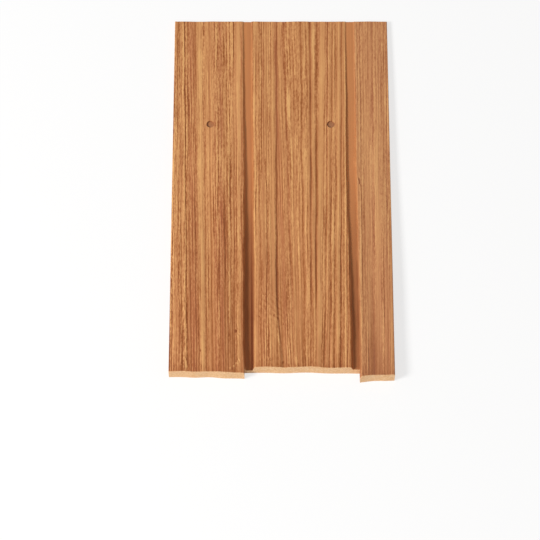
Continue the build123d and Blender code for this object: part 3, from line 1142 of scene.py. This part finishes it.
def grain_tree():
    """Geometry nodes: rings, ridges and fibres raised along the grain, and the mark of their crests."""
    inputs = [("Tile", "NodeSocketGeometry", None)]
    inputs += [(name, "NodeSocketFloat", 0.0) for name in GRAIN_SIZES]
    inputs += [("Seed", "NodeSocketInt", 0), ("Material", "NodeSocketMaterial", None)]
    wire, put, out = new_group("split grain", "GeometryNodeTree", inputs, [("Tile", "NodeSocketGeometry")])
    strength = named_value(wire, "split_face", "FLOAT")
    place = wire.node("ShaderNodeSeparateXYZ", {0: named_value(wire, "grain", "FLOAT_VECTOR")}).outputs

    def along_grain(pitch, stretch, layer):
        """Noise about zero whose spots are a pitch wide and stretched along the grain."""
        across = wire.math("DIVIDE", place["X"], pitch)
        along = wire.math("DIVIDE", place["Y"], wire.math("MULTIPLY", pitch, stretch))
        level = wire.math("ADD", put["Seed"], layer)
        value = wire.noise(wire.vector(across, along, level), 1.0, 1.0, 0.4)
        return wire.math("MULTIPLY", wire.about_half(value), 2.0)

    # Growth rings have narrow valleys, and their spacing and strength wander across the planks
    wander = along_grain(wire.math("MULTIPLY", put["Ring Spacing"], RING_WANDER_WIDTH), *RING_WANDER_NOISE)
    turns = wire.math("DIVIDE", place["X"], put["Ring Spacing"])
    turns = wire.math("MULTIPLY_ADD", wander, RING_WANDER, turns)
    swing = wire.math("SINE", wire.math("MULTIPLY", turns, 2 * pi))
    valley = wire.math("POWER", wire.math("MULTIPLY_ADD", swing, -0.5, 0.5), RING_VALLEY_POWER)
    ring = wire.math("MULTIPLY_ADD", valley, RING_VALLEY, RING_CREST)
    patch = along_grain(wire.math("MULTIPLY", put["Ring Spacing"], RING_PATCH_WIDTH), *RING_PATCH_NOISE)
    rings = wire.math("MULTIPLY", ring, wire.ramp(patch, *RING_PATCH_FADE))
    ridges = along_grain(put["Ridge Pitch"], *RIDGE_NOISE)
    fibres = along_grain(put["Fibre Pitch"], *FIBRE_NOISE)
    rise = wire.math("MULTIPLY", rings, put["Ring Height"])
    rise = wire.math("MULTIPLY_ADD", ridges, put["Ridge Height"], rise)
    rise = wire.math("MULTIPLY_ADD", fibres, put["Fibre Height"], rise)
    shift = wire.vector(z=wire.math("MULTIPLY", rise, strength))
    raised = wire.node("GeometryNodeSetPosition", {"Geometry": put["Tile"], "Offset": shift})
    crest = wire.math("MULTIPLY", fibres, FIBRE_CREST_SHARE)
    crest = wire.math("MULTIPLY_ADD", ridges, RIDGE_CREST_SHARE, crest)
    crest = wire.math("MULTIPLY_ADD", rings, RING_CREST_SHARE, crest)
    marked = wire.node("GeometryNodeStoreNamedAttribute", {
        "Geometry": raised.outputs[0], "Name": "crest", "Value": crest,
    }, data_type="FLOAT", domain="POINT")
    finish_tree(wire, put, out, marked.outputs[0])
    return wire.tree


def mark_surface(mesh, form):
    """Writes what the grain tree and the material read: where the grain runs and what each place is."""
    co = np.empty(len(mesh.vertices) * 3)
    mesh.vertices.foreach_get("co", co)
    x, y, z = (co.reshape(-1, 3) / MM).T
    face = form.face(x, y)
    left_line, centre_line, right_line = form.butt_lines(x)
    butt = np.where(x > form.second_step - AT_STEP, right_line, centre_line)
    butt = np.where(x < form.first_step + AT_STEP, left_line, butt)
    top = face.height - form.edge_drop(x, y, butt)
    on_face = np.clip(1 - np.abs(top - z) / ON_FACE, 0, 1)
    from_butt = y - butt
    from_side = form.half_width - np.abs(x)
    inside = (from_butt > INSIDE_EDGE) & (from_side > INSIDE_EDGE)
    edge_fade = np.clip(from_side / EDGE_FADE, 0, 1) * np.clip(from_butt / EDGE_FADE, 0, 1)
    raised = edge_fade * (1 - KEYWAY_SMOOTHING * face.keyway) * form.tapered(y, 1.0, GRAIN_AT_HEAD)
    values = {
        "split_face": on_face * raised * face.strength,
        "keyway": face.keyway * on_face,
        "shade": face.shade,
        "light": face.light,
        "red": face.red,
        "dull": np.where(x > form.second_step, DULL_SHARE, 0.0),
        "strength": face.strength,
        "near_butt": on_face * np.exp(-np.maximum(from_butt, 0.0) / BUTT_EDGE_REACH),
        "sawn": np.clip(1 - from_butt / SAWN_FADE, 0, 1),
        "under": (z < top - UNDER_FACE) & inside,
    }
    for name, value in values.items():
        mesh.attributes.new(name, "FLOAT", "POINT").data.foreach_set("value", value.astype(np.float32))

    # On the long sides the grain goes on down from the face
    wrapped = face.grain + np.sign(x) * np.maximum(top - z, 0.0) * (from_side < AT_SIDE)
    vectors = np.stack([wrapped, y, z], axis=1) * MM
    grain = mesh.attributes.new("grain", "FLOAT_VECTOR", "POINT")
    grain.data.foreach_set("vector", vectors.ravel().astype(np.float32))


def grain_tone_group():
    """Shader nodes: bands, streaks, fibres and flecks along the grain, as values about a half."""
    inputs = [("Grain", "NodeSocketVector", None)]
    inputs += [(layer.name + " Pitch", "NodeSocketFloat", layer.pitch) for layer in GRAIN_LAYERS]
    outputs = [(layer.name, "NodeSocketFloat") for layer in GRAIN_LAYERS]
    wire, put, out = new_group("grain tones", "ShaderNodeTree", inputs, outputs)
    place = wire.node("ShaderNodeSeparateXYZ", {0: put["Grain"]}).outputs
    for layer in GRAIN_LAYERS:
        pitch = put[layer.name + " Pitch"]
        across = wire.math("DIVIDE", place["X"], pitch)
        along = wire.math("DIVIDE", place["Y"], wire.math("MULTIPLY", pitch, layer.stretch))
        wire.feed(out[layer.name], wire.noise(wire.vector(across, along, layer.level), 1.0, 2.0, 0.55))
    return wire.tree


def face_mark_group():
    """Shader nodes: one small chip or scuff, as a value to add to the tone of the face."""
    inputs = [("Place", "NodeSocketVector", None)]
    inputs += [(name, "NodeSocketFloat", 0.0) for name in ("X", "Y", "Across", "Along", "Lean", "Light")]
    wire, put, out = new_group("face mark", "ShaderNodeTree", inputs, [("Tone", "NodeSocketFloat")])
    place = wire.node("ShaderNodeSeparateXYZ", {0: put["Place"]}).outputs
    up = wire.math("SUBTRACT", place["Y"], put["Y"])
    over = wire.math("SUBTRACT", place["X"], wire.math("MULTIPLY_ADD", up, put["Lean"], put["X"]))
    near = wire.oval(over, up, put["Across"], put["Along"])
    wire.feed(out["Tone"], wire.math("MULTIPLY", near, put["Light"]))
    return wire.tree


def ripple_group():
    """Shader nodes: faint tool ripples across the grain inside an oval, as a value to add to the tone."""
    inputs = [("Place", "NodeSocketVector", None)]
    inputs += [(name, "NodeSocketFloat", 0.0) for name in ("X", "Y", "Across", "Along", "Pitch", "Light")]
    wire, put, out = new_group("tool ripples", "ShaderNodeTree", inputs, [("Tone", "NodeSocketFloat")])
    place = wire.node("ShaderNodeSeparateXYZ", {0: put["Place"]}).outputs
    over = wire.math("SUBTRACT", place["X"], put["X"])
    up = wire.math("SUBTRACT", place["Y"], put["Y"])
    slanted = wire.math("MULTIPLY_ADD", over, RIPPLE_SLANT[0], wire.math("MULTIPLY", up, RIPPLE_SLANT[1]))
    bend = wire.math("MULTIPLY", wire.noise(put["Place"], RIPPLE_BEND_SCALE, 1.0), RIPPLE_BEND)
    turns = wire.math("ADD", wire.math("DIVIDE", slanted, put["Pitch"]), bend)
    crest = wire.ramp(wire.math("SINE", wire.math("MULTIPLY", turns, 2 * pi)), *RIPPLE_CREST)
    broken = wire.ramp(wire.noise(put["Place"], RIPPLE_BREAK_SCALE, 2.0, 0.6), *RIPPLE_BREAK_FADE)
    near = wire.oval(over, up, put["Across"], put["Along"])
    strength = wire.math("MULTIPLY", wire.math("MULTIPLY", near, broken), put["Light"])
    wire.feed(out["Tone"], wire.math("MULTIPLY", crest, strength))
    return wire.tree


def opaque(colour_value):
    """A colour with the full alpha that a colour socket wants."""
    return (*colour_value, 1.0)


def marks_tone(wire, coordinates):
    """The tones of all the small marks and the tool ripples, added up."""
    fray = wire.node("ShaderNodeTexNoise", {"Vector": coordinates, "Scale": FRAY_SCALE, "Detail": 1.0})
    centred = wire.node("ShaderNodeVectorMath", {
        0: fray.outputs["Color"], 1: (0.5, 0.5, 0.5),
    }, operation="SUBTRACT")
    place = wire.node("ShaderNodeVectorMath", {
        0: centred.outputs[0], 1: FRAY_REACH, 2: coordinates,
    }, operation="MULTIPLY_ADD").outputs[0]
    total = wire.node("ShaderNodeGroup", {
        "Place": coordinates, "X": RIPPLE_PLACE[0] * MM, "Y": RIPPLE_PLACE[1] * MM,
        "Across": RIPPLE_REACH[0] * MM, "Along": RIPPLE_REACH[1] * MM, "Pitch": RIPPLE_PITCH * MM,
        "Light": RIPPLE_LIGHT,
    }, node_tree=ripple_group()).outputs[0]
    tree = face_mark_group()
    for mark in MARKS:
        chip = wire.node("ShaderNodeGroup", {
            "Place": place, "X": mark.x * MM, "Y": mark.y * MM, "Across": mark.across * MM,
            "Along": mark.along * MM, "Lean": mark.lean, "Light": mark.light,
        }, node_tree=tree).outputs[0]
        total = wire.math("MULTIPLY_ADD", chip, MARK_SHARE, total)
    return total


def mesh_value(wire, name, output="Fac"):
    """A value that the mesh carries, in a material's tree."""
    made = wire.node("ShaderNodeAttribute", attribute_name=name, attribute_type="GEOMETRY")
    return made.outputs[output]


def face_value(wire, tones, marks):
    """How light the split face is, from its fine grain, its broad bands, its streaks, its darkening near the
    butts and marks.
    """
    fine = wire.math("MULTIPLY", mesh_value(wire, "crest"), CREST_SHARE)
    for name, share in FINE_SHARES:
        fine = wire.math("MULTIPLY_ADD", wire.about_half(tones[name]), share, fine)
    strength = wire.math("MULTIPLY", mesh_value(wire, "strength"), wire.ramp(tones["Runs"], *RUN_FADE))
    value = wire.math("MULTIPLY_ADD", fine, strength, MIDDLE_VALUE)
    value = wire.math("MULTIPLY_ADD", wire.about_half(tones["Bands"]), BAND_SHARE, value)
    value = wire.math("MULTIPLY_ADD", mesh_value(wire, "light"), LIGHT_SHARE, value)
    # The face is darker near the butts
    value = wire.math("MULTIPLY_ADD", mesh_value(wire, "near_butt"), BUTT_EDGE_DARKENING, value)
    return wire.math("ADD", value, marks)


def face_colour(wire, value, tones, colours):
    """The colour of the split face for how light it is, with its reddish and its dull casts."""
    ramp = wire.node("ShaderNodeValToRGB", {"Fac": value})
    stops = (colours.groove, colours.brown, colours.middle, colours.tan, colours.pale)
    elements = ramp.color_ramp.elements
    while len(elements) < len(stops):
        elements.new(0.5)
    for element, place, stop in zip(elements, TONE_STOPS, stops):
        element.position = place
        element.color = opaque(stop)
    noise = wire.math("MULTIPLY_ADD", tones["Streaks"], RED_STREAKS, tones["Bands"])
    noise = wire.math("MULTIPLY", wire.ramp(noise, *RED_FADE), RED_NOISE_SHARE)
    placed = wire.math("MULTIPLY", mesh_value(wire, "red"), RED_SHARE)
    wood = ramp.outputs["Color"]
    wood = wire.blend(wire.math("MAXIMUM", placed, noise, clamp=True), wood, opaque(colours.red))
    return wire.blend(mesh_value(wire, "dull"), wood, opaque(colours.dull))


def keyway_colour(wire, tones, marks, colours):
    """The uneven colour of the keyways, darkened in their depths by painted shade."""
    shade = mesh_value(wire, "shade")
    # Painted shade mixes the keyways towards their darkest colour
    dark = wire.math("MULTIPLY_ADD", wire.about_half(tones["Streaks"]), KEYWAY_UNEVEN, shade)
    dark = wire.math("SUBTRACT", dark, marks, clamp=True)
    return wire.blend(dark, opaque(colours.keyway), opaque(colours.keyway_painted_shade))


def back_colour(wire, coordinates, colours):
    """The mottled colour of the underside."""
    mottle = wire.ramp(wire.noise(coordinates, MOTTLE_SCALE, 3.0, 0.6), *MOTTLE_FADE)
    return wire.blend(mottle, opaque(colours.back), opaque(colours.keyway))


def shake_material(colours):
    """The moulded split-wood finish of the whole tile."""
    material = bpy.data.materials.new("moulded shake")
    material.use_nodes = True
    material.node_tree.nodes.clear()
    wire = Wiring(material.node_tree)
    texture = wire.node("ShaderNodeTexCoord").outputs
    coordinates = texture["Object"]
    grain = mesh_value(wire, "grain", "Vector")
    tones = wire.node("ShaderNodeGroup", {"Grain": grain}, node_tree=grain_tone_group()).outputs
    marks = marks_tone(wire, coordinates)
    speckle = wire.noise(coordinates, SPECKLE_SCALE, 3.0, 0.6)
    keyway = mesh_value(wire, "keyway")

    # The split face, and over it the keyways, the sawn butts and the underside
    finish = face_colour(wire, face_value(wire, tones, marks), tones, colours)
    finish = wire.blend(keyway, finish, keyway_colour(wire, tones, marks, colours))
    butt = wire.blend(wire.ramp(speckle, *SPECKLE_FADE), opaque(colours.butt_grain), opaque(colours.butt))
    finish = wire.blend(mesh_value(wire, "sawn"), finish, butt)
    facing = wire.node("ShaderNodeSeparateXYZ", {0: texture["Normal"]}).outputs["Z"]
    downwards = wire.math("LESS_THAN", facing, FACING_DOWN)
    under = wire.math("MAXIMUM", mesh_value(wire, "under"), downwards)
    finish = wire.blend(under, finish, back_colour(wire, coordinates, colours))

    fibre_share, speckle_share = BUMP_SHARES
    raised = wire.math("MULTIPLY", speckle, speckle_share)
    raised = wire.math("MULTIPLY_ADD", tones["Fibres"], fibre_share, raised)
    bump = wire.node("ShaderNodeBump", {
        "Strength": BUMP_STRENGTH, "Distance": BUMP_HEIGHT, "Height": raised,
    })
    hollow = wire.math("MULTIPLY", keyway, mesh_value(wire, "shade"))
    roughness = wire.ramp(tones["Streaks"], *ROUGHNESS_FADE)
    roughness = wire.math("MULTIPLY_ADD", hollow, HOLLOW_ROUGHNESS, roughness, clamp=True)
    shader = wire.node("ShaderNodeBsdfPrincipled", {
        "Base Color": finish, "Roughness": roughness, "Normal": bump.outputs[0], "IOR": REFRACTION,
    })
    output = wire.node("ShaderNodeOutputMaterial")
    wire.feed(output.inputs["Surface"], shader.outputs[0])
    return material


def pocket_bays(form, sizes):
    """The bays of pockets: where each starts and ends across the tile, its columns, first row and rows."""
    tile = form.tile
    first_left = tile.first_keyway + tile.first_drift - form.floor_half - sizes.keyway_wall
    first_right = tile.first_keyway + form.floor_half + sizes.keyway_wall
    second_left = tile.second_keyway + tile.second_drift - form.floor_half - sizes.keyway_wall
    second_right = tile.second_keyway + form.floor_half + sizes.keyway_wall
    planks = (
        (sizes.outer_wall - form.half_width, first_left, LEFT_COLUMNS),
        (first_right, second_left, CENTRE_COLUMNS),
        (second_right, form.half_width - sizes.outer_wall, RIGHT_COLUMNS),
    )
    head_start = sizes.head_wall_line + sizes.rib - HEAD_ROWS * (sizes.pocket_length + sizes.rib)
    bays = []
    for start, end, columns in planks:
        bays.append((start * MM, end * MM, columns, sizes.butt_wall_line * MM, BUTT_ROWS))
        bays.append((start * MM, end * MM, columns, head_start * MM, HEAD_ROWS))
    return bays


class MESH_OT_moulded_shake(Operator):
    """Makes the moulded tile: split face, keyways, sawn butts, nail seats and ribbed underside"""

    bl_idname = "mesh.moulded_shake"
    bl_label = "Moulded Shake Tile"

    def execute(self, context):
        scene = context.scene
        tile = scene.shake_tile
        under = scene.shake_underside
        grain = scene.shake_grain
        form = TileForm(in_millimetres(tile))
        material = shake_material(scene.shake_colours)
        body = bpy.data.objects.new("tile body", body_mesh(form))
        scene.collection.objects.link(body)
        bays = pocket_bays(form, in_millimetres(under))
        cut = with_nodes(body, underside_tree(bays), {
            "Rib": under.rib, "Pocket Length": under.pocket_length, "Corner": under.pocket_corner,
            "Skin": under.skin, "Tile Length": tile.length, "Butt Height": tile.plank_butt,
            "Head Height": tile.plank_head, "Below": CORE_BELOW * MM, "Ceiling Round": CEILING_ROUND * MM,
            "Draft": POCKET_DRAFT, "Seat Radius": under.seat_radius, "Seat Depth": under.seat_depth,
            "Seat Spacing": under.seat_spacing, "Seat Middle": under.seat_middle,
            "Nail Line": under.nail_line, "Material": material,
        }, "cut tile")
        mark_surface(cut.data, form)
        piece = with_nodes(cut, grain_tree(), {
            "Ring Height": grain.ring_height, "Ring Spacing": grain.ring_spacing,
            "Ridge Height": grain.ridge_height, "Ridge Pitch": grain.ridge_pitch,
            "Fibre Height": grain.fibre_height, "Fibre Pitch": grain.fibre_pitch,
            "Seed": grain.seed, "Material": material,
        }, "moulded_shake_tile")
        for polygon in piece.data.polygons:
            polygon.use_smooth = True
        piece.data.set_sharp_from_angle(angle=SHARP_ANGLE)
        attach(piece, "root")
        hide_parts(TILE_NODE)
        return {"FINISHED"}


def stage_material(floor_colour):
    """A pale floor that the camera sees as white, with the tile's shadow kept on it."""
    material = bpy.data.materials.new("pale floor")
    material.use_nodes = True
    material.node_tree.nodes.clear()
    wire = Wiring(material.node_tree)
    diffuse = wire.node("ShaderNodeBsdfDiffuse", {"Color": opaque(floor_colour)})
    white = wire.node("ShaderNodeEmission", {"Color": (1, 1, 1, 1), "Strength": 1.0})
    share = wire.math("MULTIPLY", seen_directly(wire), FLOOR_WHITE_SHARE)
    mixed = wire.node("ShaderNodeMixShader", {0: share, 1: diffuse.outputs[0], 2: white.outputs[0]})
    output = wire.node("ShaderNodeOutputMaterial")
    wire.feed(output.inputs["Surface"], mixed.outputs[0])
    return material


def seen_directly(wire):
    """1 for camera, glossy and transmission rays, 0 for the rest."""
    path = wire.node("ShaderNodeLightPath").outputs
    seen = wire.math("MAXIMUM", path["Is Camera Ray"], path["Is Glossy Ray"])
    return wire.math("MAXIMUM", seen, path["Is Transmission Ray"])


class SCENE_OT_shake_stage(Operator):
    """Makes the pale floor, the soft lamp, the even fill light and the camera"""

    bl_idname = "scene.shake_stage"
    bl_label = "Shake Stage"

    def execute(self, context):
        scene = context.scene
        stage = scene.shake_stage
        scene.view_settings.view_transform = "Standard"

        # The camera, tilted down from level by its elevation
        camera = bpy.data.objects.new("camera", bpy.data.cameras.new("camera"))
        camera.data.lens = stage.lens
        camera.data.sensor_width = SENSOR_WIDTH
        camera.data.clip_end = VIEW_END
        back = Vector((0.0, -cos(stage.elevation), sin(stage.elevation)))
        camera.location = Vector(stage.aim) + back * stage.distance
        camera.rotation_euler = (pi / 2 - stage.elevation, 0.0, 0.0)
        scene.collection.objects.link(camera)
        scene.camera = camera

        floor_mesh = bpy.data.meshes.new("floor")
        ends = ((-1, -1), (1, -1), (1, 1), (-1, 1))
        corners = [(FLOOR_REACH * across, FLOOR_REACH * along, 0) for across, along in ends]
        floor_mesh.from_pydata(corners, [], [range(len(corners))])
        floor_mesh.materials.append(stage_material(stage.floor))
        floor = bpy.data.objects.new("floor", floor_mesh)
        scene.collection.objects.link(floor)

        lamp = bpy.data.lights.new("key", "AREA")
        lamp.energy = stage.key_power
        lamp.size = stage.key_size
        key = bpy.data.objects.new("key", lamp)
        key.location = KEY_PLACE
        key.rotation_euler = (Vector(KEY_AIM) - key.location).to_track_quat("-Z", "Y").to_euler()
        scene.collection.objects.link(key)

        world = bpy.data.worlds.new("even light")
        world.use_nodes = True
        world.node_tree.nodes.clear()
        wire = Wiring(world.node_tree)
        strength = wire.ramp(seen_directly(wire), 0.0, 1.0, stage.fill, 1.0)
        background = wire.node("ShaderNodeBackground", {"Color": (1, 1, 1, 1), "Strength": strength})
        output = wire.node("ShaderNodeOutputWorld")
        wire.feed(output.inputs["Surface"], background.outputs[0])
        scene.world = world
        return {"FINISHED"}


class VIEW3D_PT_shake_shingle(Panel):
    """Lists the shingle's steps and sizes"""

    bl_label = "Shake Shingle"
    bl_idname = "VIEW3D_PT_shake_shingle"
    bl_space_type = "VIEW_3D"
    bl_region_type = "UI"
    bl_category = "Shake Shingle"

    def draw(self, context):
        for kind in (SCENE_OT_shake_stage, MESH_OT_moulded_shake):
            self.layout.operator(kind.bl_idname)
        for group in SETTINGS:
            box = self.layout.box()
            for name in SETTINGS[group].__annotations__:
                box.prop(getattr(context.scene, group), name)


SETTINGS = {
    "shake_tile": ShakeTileSizes,
    "shake_underside": ShakeUndersideSizes,
    "shake_grain": ShakeGrainSizes,
    "shake_colours": ShakeColours,
    "shake_stage": ShakeStageSettings,
}
CLASSES = (*SETTINGS.values(), MESH_OT_moulded_shake, SCENE_OT_shake_stage, VIEW3D_PT_shake_shingle)


def register():
    for kind in CLASSES:
        bpy.utils.register_class(kind)
    for name, kind in SETTINGS.items():
        setattr(bpy.types.Scene, name, PointerProperty(type=kind))


def unregister():
    for name in SETTINGS:
        delattr(bpy.types.Scene, name)
    for kind in reversed(CLASSES):
        bpy.utils.unregister_class(kind)


def main():
    """Builds the scene: registers the add-on, then makes the stage and the moulded tile."""
    register()
    bpy.ops.scene.shake_stage()
    bpy.ops.mesh.moulded_shake()


if __name__ == "__main__":
    main()
